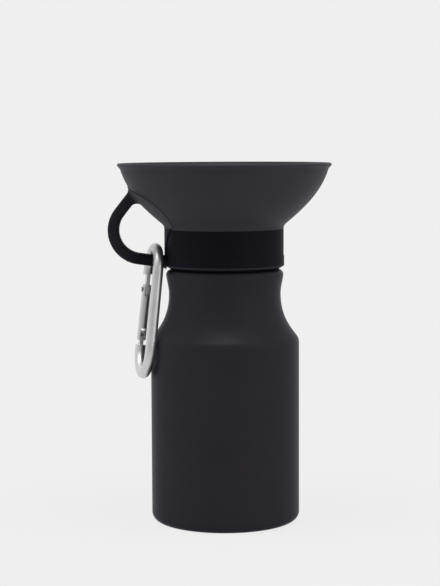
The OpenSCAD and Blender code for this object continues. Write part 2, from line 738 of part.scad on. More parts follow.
bottle();
neck_insert();
insert_o_ring();
dip_tube();
plug_seal();
bowl_o_ring();
bowl();
grip_sleeve();
splash_dome();
carabiner_frame();
gate_rivet();
carabiner_gate();
latch_pin();
gate_spring();
gate_plunger();
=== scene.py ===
"""Looks of a dog's travel water bottle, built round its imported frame.

Lengths in the classes below are millimetres. They become metres where a mesh is made. Sizes that
the frame holds are read from it, so that each surface lies where its solid is.
"""

import json
import logging
import math
from contextlib import contextmanager
from dataclasses import dataclass, field
from enum import Enum
from typing import Any, ClassVar, Iterator, Sequence

import bmesh
import bpy
import numpy as np
from mathutils import Matrix, Vector


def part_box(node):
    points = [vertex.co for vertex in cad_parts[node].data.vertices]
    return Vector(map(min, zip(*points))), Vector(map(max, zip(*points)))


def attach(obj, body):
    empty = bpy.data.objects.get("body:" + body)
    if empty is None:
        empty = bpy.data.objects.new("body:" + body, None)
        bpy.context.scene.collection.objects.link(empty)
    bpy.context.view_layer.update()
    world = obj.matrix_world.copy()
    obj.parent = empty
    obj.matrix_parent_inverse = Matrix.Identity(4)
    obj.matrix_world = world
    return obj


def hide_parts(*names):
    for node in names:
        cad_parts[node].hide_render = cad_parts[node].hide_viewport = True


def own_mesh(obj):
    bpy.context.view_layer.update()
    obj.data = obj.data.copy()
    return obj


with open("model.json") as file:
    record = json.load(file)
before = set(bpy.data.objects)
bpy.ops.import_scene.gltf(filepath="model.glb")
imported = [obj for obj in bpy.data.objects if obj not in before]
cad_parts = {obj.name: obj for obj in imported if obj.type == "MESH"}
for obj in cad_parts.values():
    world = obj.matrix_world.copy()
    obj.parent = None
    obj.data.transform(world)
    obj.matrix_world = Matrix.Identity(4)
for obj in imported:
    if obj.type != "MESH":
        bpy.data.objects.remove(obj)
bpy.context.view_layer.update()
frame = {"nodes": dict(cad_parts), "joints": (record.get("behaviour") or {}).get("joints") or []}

JOINTS = {joint["name"]: joint for joint in frame["joints"]}
MM = 0.001
TURN = 2 * math.pi
LOG = logging.getLogger("bottle")
Array = np.ndarray
Pair = tuple[float, float]
Triple = tuple[float, float, float]
Mesh = bpy.types.Mesh
Piece = bpy.types.Object
Socket = bpy.types.NodeSocket


class Slot(Enum):
    """The material slots of the record."""

    BOTTLE = "bottle_plastic"
    BOWL = "bowl_plastic"
    SLEEVE = "sleeve_rubber"
    INSERT = "insert_plastic"
    TUBE = "tube_plastic"
    PLUG = "plug_rubber"
    SEAL = "seal_rubber"
    CLIP = "clip_aluminium"
    STEEL = "steel"


class Body(Enum):
    """The bodies that new pieces ride on."""

    BOTTLE = "bottle"
    LID = "lid"
    GATE = "gate"


# ---- Lines in a plane: rows of (radius, height) or (across, up) ----


def heading(degrees: float | Array) -> Array:
    """Unit vectors (cos, sin) at angles from the first axis, as the last dimension."""
    angle = np.radians(degrees)
    return np.stack([np.cos(angle), np.sin(angle)], axis=-1)


def arc(centre: Sequence[float], radius: float, start: float, stop: float, count: int = 24) -> Array:
    """Points at count + 1 even angles from start to stop, in degrees, on a circle."""
    return np.asarray(centre, float) + radius * heading(np.linspace(start, stop, count + 1))


def cubic(a: Array, b: Array, c: Array, d: Array, count: int = 40) -> Array:
    """Points along a cubic curve: s^3 a + 3 s^2 t b + 3 s t^2 c + t^3 d, where s = 1 - t.

    Args:
        a: First point.
        b: Point that the curve leaves towards.
        c: Point that the curve arrives from.
        d: Last point.
        count: Number of steps.

    Returns:
        count + 1 points.
    """
    t = np.linspace(0, 1, count + 1)[:, None]
    s = 1 - t
    a, b, c, d = (np.asarray(p, float) for p in (a, b, c, d))
    return s**3 * a + 3 * s * s * t * b + 3 * s * t * t * c + t**3 * d


def fillet(corner: Array, back: Array, onward: Array, radius: float, count: int = 20) -> Array:
    """Points along the arc that rounds a corner.

    With half the corner's angle h, the arc touches both lines at radius / tan h from the corner,
    and its centre lies at radius / sin h.

    Args:
        corner: The corner.
        back: Unit vector from the corner along the line that comes in.
        onward: Unit vector from the corner along the line that leaves.
        radius: Radius of the arc.
        count: Number of steps.

    Returns:
        count + 1 points.
    """
    half = math.acos(float(np.clip(back @ onward, -1, 1))) / 2
    centre = corner + (back + onward) / np.linalg.norm(back + onward) * radius / math.sin(half)
    spokes = [corner + way * radius / math.tan(half) - centre for way in (back, onward)]
    first, last = (math.atan2(spoke[1], spoke[0]) for spoke in spokes)
    turn = (last - first + math.pi) % TURN - math.pi
    return arc(centre, radius, math.degrees(first), math.degrees(first + turn), count)


def straight(a: Sequence[float], b: Sequence[float], count: int = 1) -> Array:
    """Points along a straight line from a to b, in count steps."""
    return np.linspace(np.asarray(a, float), np.asarray(b, float), count + 1)


def chain(*runs: Array) -> Array:
    """Joins runs end to end and drops points that repeat the one before.

    Args:
        *runs: Runs of points.

    Returns:
        One run.
    """
    points = np.vstack([np.atleast_2d(run) for run in runs])
    step = np.linalg.norm(np.diff(points, axis=0), axis=1)
    return points[np.concatenate([[True], step > 1e-4])]


def beside(points: Array, distance: float) -> Array:
    """Moves a line sideways, to the left of the way it runs.

    Args:
        points: The line.
        distance: How far.

    Returns:
        As many points.
    """
    along = np.gradient(points, axis=0)
    along /= np.linalg.norm(along, axis=1, keepdims=True)
    return points + distance * np.stack([-along[:, 1], along[:, 0]], axis=1)


def soften(points: Array, radius: float, sharper_than: float = 25.0, steps: int = 4) -> Array:
    """Rounds the sharp corners of a closed outline with short curves.

    Each corner off the axis that turns by more than sharper_than degrees is replaced by the curve
    s^2 p + 2 s t corner + t^2 q between points p and q at up to radius before and after it.

    Args:
        points: The outline, which closes on itself.
        radius: Distance at which the rounding starts, at most 0.45 of each side.
        sharper_than: Least turn that is rounded.
        steps: Steps in each curve.

    Returns:
        The rounded outline.
    """
    before, after = np.roll(points, 1, axis=0) - points, np.roll(points, -1, axis=0) - points
    sizes = [np.maximum(np.linalg.norm(side, axis=1, keepdims=True), 1e-9) for side in (before, after)]
    cosine = -(before * after).sum(1) / (sizes[0] * sizes[1])[:, 0]
    sharp = (points[:, 0] >= 1e-6) & (cosine <= math.cos(math.radians(sharper_than)))
    reach = np.where(sharp, radius, 0.0)[:, None]
    start, stop = (points + side / size * np.minimum(reach, 0.45 * size)
                   for side, size in zip((before, after), sizes))
    t = np.linspace(0, 1, steps + 1)[None, :, None]
    curves = (1 - t) ** 2 * start[:, None] + 2 * (1 - t) * t * points[:, None] + t * t * stop[:, None]
    return chain(curves.reshape(-1, 2))


# ---- Meshes from grids ----


def grid_piece(name: str, points: Array, wrap_u: bool = False, wrap_v: bool = False,
               sharp: float = 32.0, flip: bool = False) -> Piece:
    """Makes a mesh object from a grid of points, with smooth shading.

    Args:
        name: Name of the piece.
        points: (u, v, 3) grid in millimetres.
        wrap_u: True if the last row joins the first.
        wrap_v: True if the last column joins the first.
        sharp: Angle in degrees past which an edge is shaded sharp.
        flip: True turns the faces round.

    Returns:
        The object, whose poles and seams are closed.
    """
    index = np.arange(points.shape[0] * points.shape[1]).reshape(points.shape[:2])
    if wrap_u:
        index = np.vstack([index, index[:1]])
    if wrap_v:
        index = np.hstack([index, index[:, :1]])
    corners = [index[:-1, :-1], index[1:, :-1], index[1:, 1:], index[:-1, 1:]]
    if flip:
        corners.reverse()
    mesh = bpy.data.meshes.new(name)
    mesh.from_pydata(points.reshape(-1, 3) * MM, [], np.stack(corners, axis=-1).reshape(-1, 4))
    close_seams(mesh)
    shade(mesh, sharp)
    return placed(name, mesh)


def placed(name: str, data: bpy.types.ID) -> Piece:
    """Makes an object for a mesh, a lamp or a camera and puts it in the scene.

    Args:
        name: Name of the object.
        data: What it shows.

    Returns:
        The object.
    """
    piece = bpy.data.objects.new(name, data)
    bpy.context.scene.collection.objects.link(piece)
    return piece


@contextmanager
def editing(mesh: Mesh) -> Iterator[bmesh.types.BMesh]:
    """Opens a mesh for editing, and writes it back at the end.

    Args:
        mesh: The mesh.

    Yields:
        Its editable form.
    """
    work = bmesh.new()
    work.from_mesh(mesh)
    yield work
    work.to_mesh(mesh)
    work.free()


def close_seams(mesh: Mesh, distance: float = 2e-7) -> None:
    """Merges points that lie close together, and drops faces without area.

    Args:
        mesh: The mesh.
        distance: How close, in metres.
    """
    with editing(mesh) as work:
        bmesh.ops.remove_doubles(work, verts=work.verts, dist=distance)
        bmesh.ops.dissolve_degenerate(work, edges=work.edges, dist=distance)


def shade(mesh: Mesh, sharp: float) -> None:
    """Shades a mesh smooth, apart from its sharp edges.

    Args:
        mesh: The mesh.
        sharp: Angle in degrees past which an edge is sharp.
    """
    mesh.polygons.foreach_set("use_smooth", np.ones(len(mesh.polygons), bool))
    mesh.set_sharp_from_angle(angle=math.radians(sharp))
    mesh.update()


def revolve(outline: Array, around: int, thread: "Thread | None" = None) -> Array:
    """Turns an outline about the upright axis: (r cos a, r sin a, z).

    Args:
        outline: Points (radius, height), anticlockwise round the material.
        around: Steps round the axis.
        thread: A thread, on the points that lie on its wall.

    Returns:
        (len(outline), around, 3) grid.
    """
    angle = np.linspace(0, TURN, around, endpoint=False)[None, :]
    radius, height = (np.repeat(outline[:, [i]], around, axis=1) for i in (0, 1))
    if thread:
        radius = radius + (np.abs(radius - thread.wall_r) < 1e-3) * thread.swell(angle, height)
    return np.stack([radius * np.cos(angle), radius * np.sin(angle), height], axis=-1)


def step_up(value: Array) -> Array:
    """Smooth step: 3 t^2 - 2 t^3, with t held from 0 to 1."""
    t = np.clip(value, 0, 1)
    return t * t * (3 - 2 * t)


@dataclass(frozen=True)
class Thread:
    """A two-start right-hand screw thread as a swelling of a round wall, outwards or inwards."""

    wall_r: float
    low: float
    high: float
    height: float
    phase: float = 0.0
    lead: float = 8.0
    starts: int = 2
    root: float = 0.50
    crest: float = 0.20
    fade: float = 1.6

    def swell(self, angle: Array, z: Array) -> Array:
        """Swelling of the wall.

        The ridge is at whole numbers of z / pitch - starts * angle / turn. Its section is a
        trapezium with smooth sides, and it fades near both ends of the wall.

        Args:
            angle: Angles round the axis.
            z: Heights.

        Returns:
            What to add to the radius.
        """
        pitch = self.lead / self.starts
        place = z / pitch - self.starts * angle / TURN + self.phase
        away = np.abs(place - np.round(place)) * 2
        ridge = step_up((self.root - away) / (self.root - self.crest))
        ends = step_up((z - self.low) / self.fade) * step_up((self.high - z) / self.fade)
        return self.height * ridge * ends


# ---- Finishes ----


class Shader:
    """Short calls that add nodes to a shader tree."""

    def __init__(self, tree: bpy.types.NodeTree) -> None:
        """Keeps the tree that gets the nodes."""
        self.tree = tree

    def fill(self, node: bpy.types.Node, inputs: dict[str | int, Any]) -> bpy.types.Node:
        """Links sockets to a node's inputs, or sets values there.

        Args:
            node: The node.
            inputs: Sockets to link or values to set, by the input's name or number.

        Returns:
            The node.
        """
        for name, value in inputs.items():
            if isinstance(value, Socket):
                self.tree.links.new(value, node.inputs[name])
            else:
                node.inputs[name].default_value = value
        return node

    def node(self, kind: str, inputs: dict[str | int, Any] | None = None, **settings: Any) -> bpy.types.Node:
        """Adds a node.

        Args:
            kind: The node's type, without "ShaderNode".
            inputs: As in fill.
            **settings: Attributes of the node.

        Returns:
            The node.
        """
        node = self.tree.nodes.new("ShaderNode" + kind)
        for name, value in settings.items():
            setattr(node, name, value)
        return self.fill(node, inputs or {})

    def maths(self, operation: str, *values: Any) -> Socket:
        """The result of a sum on sockets or numbers."""
        return self.node("Math", dict(enumerate(values)), operation=operation).outputs[0]

    def ramp(self, value: Any, low: float, high: float, start: Any = 0.0, stop: Any = 1.0) -> Socket:
        """A value carried smoothly from low..high to start..stop, and held past both ends."""
        inputs = {"Value": value, "From Min": low, "From Max": high, "To Min": start, "To Max": stop}
        return self.node("MapRange", inputs, interpolation_type="SMOOTHSTEP").outputs["Result"]

    def noise(self, place: Any, scale: Any, detail: float) -> Socket:
        """A noise texture's value at a place."""
        return self.node("TexNoise", {"Vector": place, "Scale": scale, "Detail": detail}).outputs["Fac"]


class Surface(Enum):
    """How the fine grain of a finish runs."""

    MOULDED = "moulded"
    BLOWN = "blown"
    DRAWN = "drawn"


@dataclass(frozen=True)
class Finish:
    """One material: its colour, its gloss, the grain on it and the wear along its edges."""

    name: str
    colour: Triple
    roughness: float
    specular: float = 0.5
    metallic: float = 0.0
    # Colour of worn edges; on the sleeve it is also the colour of the painted light that its attribute marks.
    worn_and_lit: Triple = (0.046, 0.044, 0.052)
    wear: float = 0.5
    drift: float = 0.08
    patch: float = 60.0
    grain: float = 2600.0
    depth: float = 0.012
    surface: Surface = Surface.MOULDED
    transmission: float = 0.0

    def material(self) -> bpy.types.Material:
        """Builds the material, or returns the one already built.

        Returns:
            The material.
        """
        made = bpy.data.materials.get(self.name)
        if made:
            return made
        made = bpy.data.materials.new(self.name)
        made.use_nodes = True
        shader = Shader(made.node_tree)
        values = {name: getattr(self, name) for name in Grain.numbers}
        values |= {name: (*getattr(self, name), 1) for name in Grain.colours}
        grain = shader.node("Group", values, node_tree=Grain(self.surface).tree()).outputs
        fixed = {"Metallic": self.metallic, "Specular IOR Level": self.specular,
                 "Transmission Weight": self.transmission}
        grained = {name: grain[name] for name in Grain.results}
        shader.fill(made.node_tree.nodes["Principled BSDF"], fixed | grained)
        return made


@dataclass(frozen=True)
class Grain:
    """The shader group that finishes with one kind of surface share.

    Its inputs have the names of a finish's fields.
    """

    colours: ClassVar[tuple[str, ...]] = ("colour", "worn_and_lit")
    numbers: ClassVar[tuple[str, ...]] = ("wear", "drift", "patch", "roughness", "grain", "depth")
    results: ClassVar[dict[str, str]] = {"Base Color": "Color", "Roughness": "Float", "Normal": "Vector"}
    surface: Surface
    edge_reach: float = 0.35
    edge_turn: Pair = (0.99, 0.80)
    edge_gaps: Pair = (0.35, 0.6)
    seam_w: Pair = (0.1, 0.4)
    seam_h: float = 4.0
    bend_stretch: float = 1.2
    along_share: float = 0.03

    def tree(self) -> bpy.types.NodeTree:
        """The group, built when it's first asked for."""
        name = f"grain_{self.surface.value}"
        return bpy.data.node_groups.get(name) or self._build(name)

    def _along_rod(self, shader: Shader) -> Socket:
        """Place on the clip's rod, shortened along it, so that a noise there runs in fine lines.

        In the clip's plane a point (x, y) is (x, y - y held between the bends' centres) from the
        rod's axis of bending. The distance from there, the distance z through the clip and a small
        share of the way along make the place.

        Args:
            shader: The tree that gets the nodes.

        Returns:
            The place.
        """
        clip = Clip()
        turn = clip.basis.inverted()
        where = shader.node("Mapping", {"Vector": shader.node("TexCoord").outputs["Object"],
                                        "Rotation": turn.to_euler(), "Location": turn.translation})
        x, y, z = shader.node("SeparateXYZ", {"Vector": where.outputs["Vector"]}).outputs
        low = float(clip.low_bend[1]) * MM
        held = shader.maths("MINIMUM", shader.maths("MAXIMUM", y, low), 0.0)
        past = shader.maths("SUBTRACT", y, held)
        out = shader.maths("SQRT", shader.maths("ADD", shader.maths("MULTIPLY", x, x),
                                                shader.maths("MULTIPLY", past, past)))
        along = shader.maths("ADD", held, shader.maths("MULTIPLY", past, self.bend_stretch))
        short = shader.maths("MULTIPLY", along, self.along_share)
        return shader.node("CombineXYZ", {0: out, 1: z, 2: short}).outputs["Vector"]

    def _build(self, name: str) -> bpy.types.NodeTree:
        """Builds a group.

        A slow noise drifts the colour and the gloss, and a fine noise gives the grain's height.
        Edges are rounded in shading, and take the worn colour where the rounding turns the normal.
        The sleeve's attribute of painted light brings the same colour, as a painted highlight and a painted
        lit tone. A blown surface has its mould's parting line in the plane y = 0.

        Args:
            name: Name of the group.

        Returns:
            The group.
        """
        tree = bpy.data.node_groups.new(name, "ShaderNodeTree")
        shader = Shader(tree)
        inputs = dict.fromkeys(self.colours, "Color") | dict.fromkeys(self.numbers, "Float")
        for way, kinds in (("INPUT", inputs), ("OUTPUT", self.results)):
            for socket, kind in kinds.items():
                tree.interface.new_socket(socket, in_out=way, socket_type="NodeSocket" + kind)
        given = tree.nodes.new("NodeGroupInput").outputs
        place = shader.node("TexCoord").outputs["Object"]
        along = self._along_rod(shader) if self.surface is Surface.DRAWN else place
        slow = shader.noise(place, given["patch"], 3.0)
        fine = shader.noise(along, given["grain"], 2.0)
        swing = shader.maths("MULTIPLY", shader.maths("SUBTRACT", slow, 0.5), given["drift"])
        fine_swing = shader.maths("MULTIPLY", shader.maths("SUBTRACT", fine, 0.5), given["drift"])

        flat = shader.node("NewGeometry").outputs["Normal"]
        eased = shader.node("Bevel", {"Radius": self.edge_reach * MM}, samples=4).outputs["Normal"]
        turned = shader.node("VectorMath", {0: flat, 1: eased}, operation="DOT_PRODUCT").outputs["Value"]
        edge = shader.ramp(turned, *self.edge_turn, 0.0, given["wear"])
        patchy = shader.maths("MULTIPLY", edge, shader.ramp(slow, *self.edge_gaps, 0.5, 1.0))
        # Painted light: the sleeve's attribute marks painted highlights and a painted lit tone, mixed with
        # the edge wear into one lighter colour.
        painted_light = shader.node("Attribute", attribute_name="painted_light").outputs["Fac"]
        wear_and_painted_light = shader.maths("MAXIMUM", patchy, painted_light)

        ends = {0: wear_and_painted_light, 6: given["colour"], 7: given["worn_and_lit"]}  # 6, 7 and output 2 hold colours
        tint = shader.node("Mix", ends, data_type="RGBA").outputs[2]
        swings = shader.maths("ADD", shader.maths("MULTIPLY", swing, 2.0), fine_swing)
        value = shader.maths("ADD", 1.0, swings)
        drifted = shader.node("HueSaturation", {"Color": tint, "Value": value})
        rough = shader.maths("ADD", given["roughness"], shader.maths("ADD", swing, fine_swing))
        height = fine
        if self.surface is Surface.BLOWN:
            away = shader.maths("ABSOLUTE", shader.node("SeparateXYZ", {"Vector": place}).outputs["Y"])
            seam = shader.ramp(away, *(width * MM for width in self.seam_w), self.seam_h, 0.0)
            height = shader.maths("ADD", fine, seam)
        depth = shader.maths("MULTIPLY", given["depth"], MM)
        bump = shader.node("Bump", {"Distance": depth, "Height": height, "Normal": eased})
        made = drifted.outputs["Color"], rough, bump.outputs["Normal"]
        shader.fill(tree.nodes.new("NodeGroupOutput"), dict(zip(self.results, made)))
        return tree


FINISHES: dict[Slot, Finish] = {
    Slot.BOTTLE: Finish("charcoal_bottle", (0.0233, 0.0219, 0.0278), 0.36, specular=0.020,
                        surface=Surface.BLOWN),
    Slot.BOWL: Finish("charcoal_bowl", (0.0355, 0.0340, 0.0408), 0.43, specular=0.034),
    # The sleeve's worn colour also paints its highlights and lit tone where its attribute marks them.
    Slot.SLEEVE: Finish("dark_soft_sleeve", (0.0067, 0.0061, 0.0097), 0.55, specular=0.03,
                        worn_and_lit=(0.049, 0.047, 0.051), grain=1900.0, depth=0.02),
    Slot.INSERT: Finish("grey_insert", (0.075, 0.075, 0.080), 0.45, specular=0.35, worn_and_lit=(0.12, 0.12, 0.125)),
    Slot.TUBE: Finish("cloudy_tube", (0.72, 0.74, 0.76), 0.32, worn_and_lit=(0.8, 0.82, 0.84), drift=0.03,
                      transmission=0.35),
    Slot.PLUG: Finish("grey_plug", (0.26, 0.27, 0.28), 0.55, specular=0.3, worn_and_lit=(0.33, 0.34, 0.35)),
    Slot.SEAL: Finish("black_seal", (0.006, 0.006, 0.006), 0.38, specular=0.35, worn_and_lit=(0.010, 0.010, 0.010)),
    Slot.CLIP: Finish("drawn_aluminium", (0.68, 0.68, 0.68), 0.42, metallic=1.0, worn_and_lit=(0.86, 0.86, 0.86),
                      wear=0.8, drift=0.10, patch=120.0, grain=9000.0, depth=0.006, surface=Surface.DRAWN),
    Slot.STEEL: Finish("plain_steel", (0.50, 0.50, 0.52), 0.28, metallic=1.0, worn_and_lit=(0.72, 0.72, 0.73),
                       wear=0.8, drift=0.06, grain=5000.0, depth=0.004),
}


def dress(piece: Piece, slot: Slot) -> None:
    """Gives a piece the finish of a slot.

    Args:
        piece: The piece, a new one or a CAD node.
        slot: The record's slot.
    """
    material = FINISHES[slot].material()
    if not piece.material_slots:
        piece.data.materials.append(material)
    for holder in piece.material_slots:
        holder.material = material


def stand_in(piece: Piece, body: Body, slot: Slot, node: str) -> None:
    """Dresses a new piece, lets it ride on a body and lets it stand for a CAD node.

    Args:
        piece: The new piece.
        body: The body it rides on.
        slot: The record's slot of its finish.
        node: The CAD node it stands for.
    """
    dress(piece, slot)
    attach(piece, body.value)
    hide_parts(node)
    LOG.info("%s: %d faces on %s", piece.name, len(piece.data.polygons), body.value)


def frame_mm(node: str) -> tuple[Array, Array]:
    """Lowest and highest corner of a CAD node, in millimetres."""
    low, high = np.array(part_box(node)) / MM
    return low, high


# ---- The bottle ----


@dataclass
class Bottle:
    """The squeeze bottle: one blow-moulded wall from the foot to the threaded neck.

    Pulls say how far the inner points of a cubic curve lie, as shares of the curve's reach.
    """

    shoulder_h: float = 127.6
    shoulder_d: float = 59.2
    shoulder_r: float = 2.6
    waist_d: float = 56.4
    waist_h: float = 115.7
    knee_h: float = 90.5
    knee_r: float = 6.0
    knee_slope: float = 39.0
    base_r: float = 4.3
    base_push: float = 3.0
    foot_w: float = 3.0
    base_pulls: Pair = (0.35, 0.68)
    base_fall: float = 0.9
    grip_pulls: Pair = (0.399, 0.414)
    flare_pull: float = 0.3
    flare_lean: float = 0.11
    wall: float = 1.6
    neck_d: float = 50.2
    neck_wall: float = 1.8
    neck_ends: float = 0.4
    root_r: float = 0.5
    edge_r: float = 0.35
    thread_h: float = 1.05
    thread_ends: Pair = (1.6, 0.8)
    body_r: float = field(init=False)
    neck_top: float = field(init=False)

    def __post_init__(self) -> None:
        """Reads the width and the height of the solid."""
        low, high = frame_mm("bottle")
        self.body_r = (high[0] - low[0]) / 2
        self.neck_top = high[2]

    def outside(self) -> Array:
        """Outside of the wall, from the middle of the base to the shoulder's edge.

        Straight stretches are joined by arcs, and the grip is two cubic curves that meet
        upright at the waist.

        Returns:
            Points (radius, height).
        """
        foot = self.body_r - self.base_r - self.foot_w
        base_low, base_high = self.body_r * np.array(self.base_pulls)
        knee = np.array([self.body_r - self.knee_r, self.knee_h])
        knee_end = knee + self.knee_r * heading(self.knee_slope)
        waist = np.array([self.waist_d / 2, self.waist_h])
        edge = np.array([self.shoulder_d / 2 - self.shoulder_r, self.shoulder_h - self.shoulder_r])
        edge_start = edge + [self.shoulder_r, 0]
        pull = (self.waist_h - knee_end[1]) * np.array(self.grip_pulls)
        flare = self.flare_pull * (edge_start[1] - self.waist_h)
        return chain(
            cubic([0, self.base_push], [base_low, self.base_push],
                  [base_high, self.base_push * self.base_fall], [foot, 0]),
            arc([self.body_r - self.base_r, self.base_r], self.base_r, -90, 0),
            arc(knee, self.knee_r, 0, self.knee_slope),
            cubic(knee_end, knee_end + pull[0] * heading(90 + self.knee_slope),
                  waist - [0, pull[1]], waist, 70),
            cubic(waist, waist + [0, flare], edge_start - [flare * self.flare_lean, flare], edge_start),
            arc(edge, self.shoulder_r, 0, 90),
        )

    def build(self) -> None:
        """Makes the wall, with the thread on its neck."""
        outside = self.outside()
        neck_r = self.neck_d / 2
        bore_r = neck_r - self.neck_wall
        low, high = self.shoulder_h + self.neck_ends, self.neck_top - self.neck_ends
        ring = chain(
            outside, arc([neck_r + self.root_r, self.shoulder_h + self.root_r], self.root_r, 270, 180, 5),
            straight([neck_r, low], [neck_r, high], 72),
            [[neck_r, self.neck_top], [bore_r, self.neck_top], [bore_r, self.shoulder_h - self.wall]],
            beside(outside[::2], self.wall)[::-1],
        )
        ring[:, 0] = np.maximum(ring[:, 0], 0)
        ring = soften(ring, self.edge_r)
        clear_low, clear_high = self.thread_ends
        thread = Thread(neck_r, self.shoulder_h + clear_low, self.neck_top - clear_high, self.thread_h)
        wall = grid_piece("bottle_wall", revolve(ring, 200, thread), wrap_v=True, flip=True)
        stand_in(wall, Body.BOTTLE, Slot.BOTTLE, "bottle")


# ---- The bowl and its sleeve ----


@dataclass
class Bowl:
    """The drinking bowl, with its threaded skirt and the cylinder that seals in the cup.

    Pulls say how far the inner points of a cubic curve lie.
    """

    collar_r: float = 29.75
    collar_top: float = 148.1
    floor_drop: float = 0.7
    floor_t: float = 2.4
    wall: float = 1.8
    skirt_in: float = 26.9
    skirt_wall: float = 1.4
    flank_low: float = 50.0
    flank_high: float = 17.0
    flank_r: float = 3.5
    flank_pulls: Pair = (0.375, 0.345)
    rim_r: float = 53.8
    lip_r: float = 0.9
    lip_out: float = 1.5
    lip_h: float = 2.9
    lip_arc: Pair = (-50.0, 100.0)
    lip_pull: Pair = (1.0, 0.2)
    inner_pull: float = 1.6
    blend_pull: float = 4.0
    blend: Pair = (5.5, 10.0)
    port_d: float = 12.0
    port_slope: float = 25.0
    seal_r: float = 18.9
    seal_wall: float = 3.0
    seal_z: float = 135.9
    ring_z: float = 138.7
    ring_d: float = 1.8
    ring_out: float = 0.2
    ring_play: float = 0.1
    chamfer: float = 0.6
    dome_in: float = 10.7
    seat: Pair = (1.4, 1.2)
    edge_r: float = 0.3
    thread_h: float = 1.05
    thread_ends: Pair = (0.5, 5.5)
    rim_z: float = field(init=False)
    skirt_z: float = field(init=False)

    def __post_init__(self) -> None:
        """Reads the reach of the solid."""
        low, high = frame_mm("bowl")
        self.rim_z = high[2]
        self.skirt_z = low[2]

    @property
    def root(self) -> Array:
        """Centre of the arc that joins the flank to the collar."""
        return np.array([self.collar_r + self.flank_r, self.collar_top])

    def flank(self) -> Array:
        """The outside of the flank: one cubic curve that steepens from the collar to the lip.

        Returns:
            Points (radius, height).
        """
        foot = self.root + self.flank_r * heading(180 - self.flank_low)
        end = np.array([self.rim_r - self.lip_out, self.rim_z - self.lip_h])
        low_pull, high_pull = np.linalg.norm(end - foot) * np.array(self.flank_pulls)
        return cubic(foot, foot + low_pull * heading(90 - self.flank_low),
                     end - high_pull * heading(90 - self.flank_high), end, 70)

    def outside(self) -> Array:
        """The flank and the arc that joins it to the collar."""
        return chain(arc(self.root, self.flank_r, 180, 180 - self.flank_low, 16), self.flank())

    def radius_at(self, z: Array) -> Array:
        """Radius of the outside at heights z; below the collar's top it is the collar's."""
        line = self.outside()
        return np.interp(z, line[:, 1], line[:, 0], left=self.collar_r)

    def port_at(self, z: float) -> float:
        """Radius of the port's cone at height z."""
        slope = math.tan(math.radians(self.port_slope))
        return self.port_d / 2 + (self.collar_top - self.floor_drop - z) * slope

    def outline(self) -> Array:
        """The bowl's whole section, anticlockwise from the port's lower edge.

        Returns:
            Points (radius, height).
        """
        floor_z = self.collar_top - self.floor_drop
        under_z = floor_z - self.floor_t
        seal_r, seal_in = self.seal_r, self.seal_r - self.seal_wall
        groove_r = seal_r + self.ring_out - self.ring_d
        groove_low, groove_high = self.ring_z + np.array([-1, 1]) * (self.ring_d / 2 + self.ring_play)
        skirt_out = self.skirt_in + self.skirt_wall
        inner = beside(self.flank(), self.wall)[::-1]
        top, foot = inner[0], inner[-1]
        bead = np.array([self.rim_r - self.lip_r, self.rim_z - self.lip_r])
        bead_end = bead + self.lip_r * heading(self.lip_arc[1])
        seat_in, seat_z = self.dome_in - self.seat[0], floor_z + self.seat[1]
        return chain(
            [[self.port_at(under_z), under_z], [seal_in, under_z], [seal_in, self.seal_z],
             [seal_r - self.chamfer, self.seal_z], [seal_r, self.seal_z + self.chamfer],
             [seal_r, groove_low], [groove_r, groove_low], [groove_r, groove_high], [seal_r, groove_high],
             [seal_r, under_z]],
            straight([self.skirt_in, under_z], [self.skirt_in, self.skirt_z], 80),
            [[skirt_out, self.skirt_z], [skirt_out, self.collar_top]],
            self.outside(), arc(bead, self.lip_r, *self.lip_arc, 20),
            cubic(bead_end, bead_end - self.lip_pull,
                  top + self.inner_pull * heading(90 - self.flank_high), top, 14),
            inner,
            cubic(foot, foot - self.blend_pull * heading(90 - self.flank_low),
                  [foot[0] - self.blend[0], floor_z], [foot[0] - self.blend[1], floor_z], 20),
            [[self.dome_in, floor_z], [self.dome_in, seat_z], [seat_in, seat_z], [seat_in, floor_z],
             [self.port_at(floor_z), floor_z]],
        )

    def build(self) -> None:
        """Makes the bowl, with the thread in its skirt."""
        ring = soften(self.outline(), self.edge_r)
        low, high = self.thread_ends
        thread = Thread(self.skirt_in, self.skirt_z + low, self.collar_top - high, -self.thread_h, phase=0.5)
        shell = grid_piece("bowl_shell", revolve(ring, 216, thread), wrap_u=True, wrap_v=True, flip=True)
        stand_in(shell, Body.LID, Slot.BOWL, "bowl")


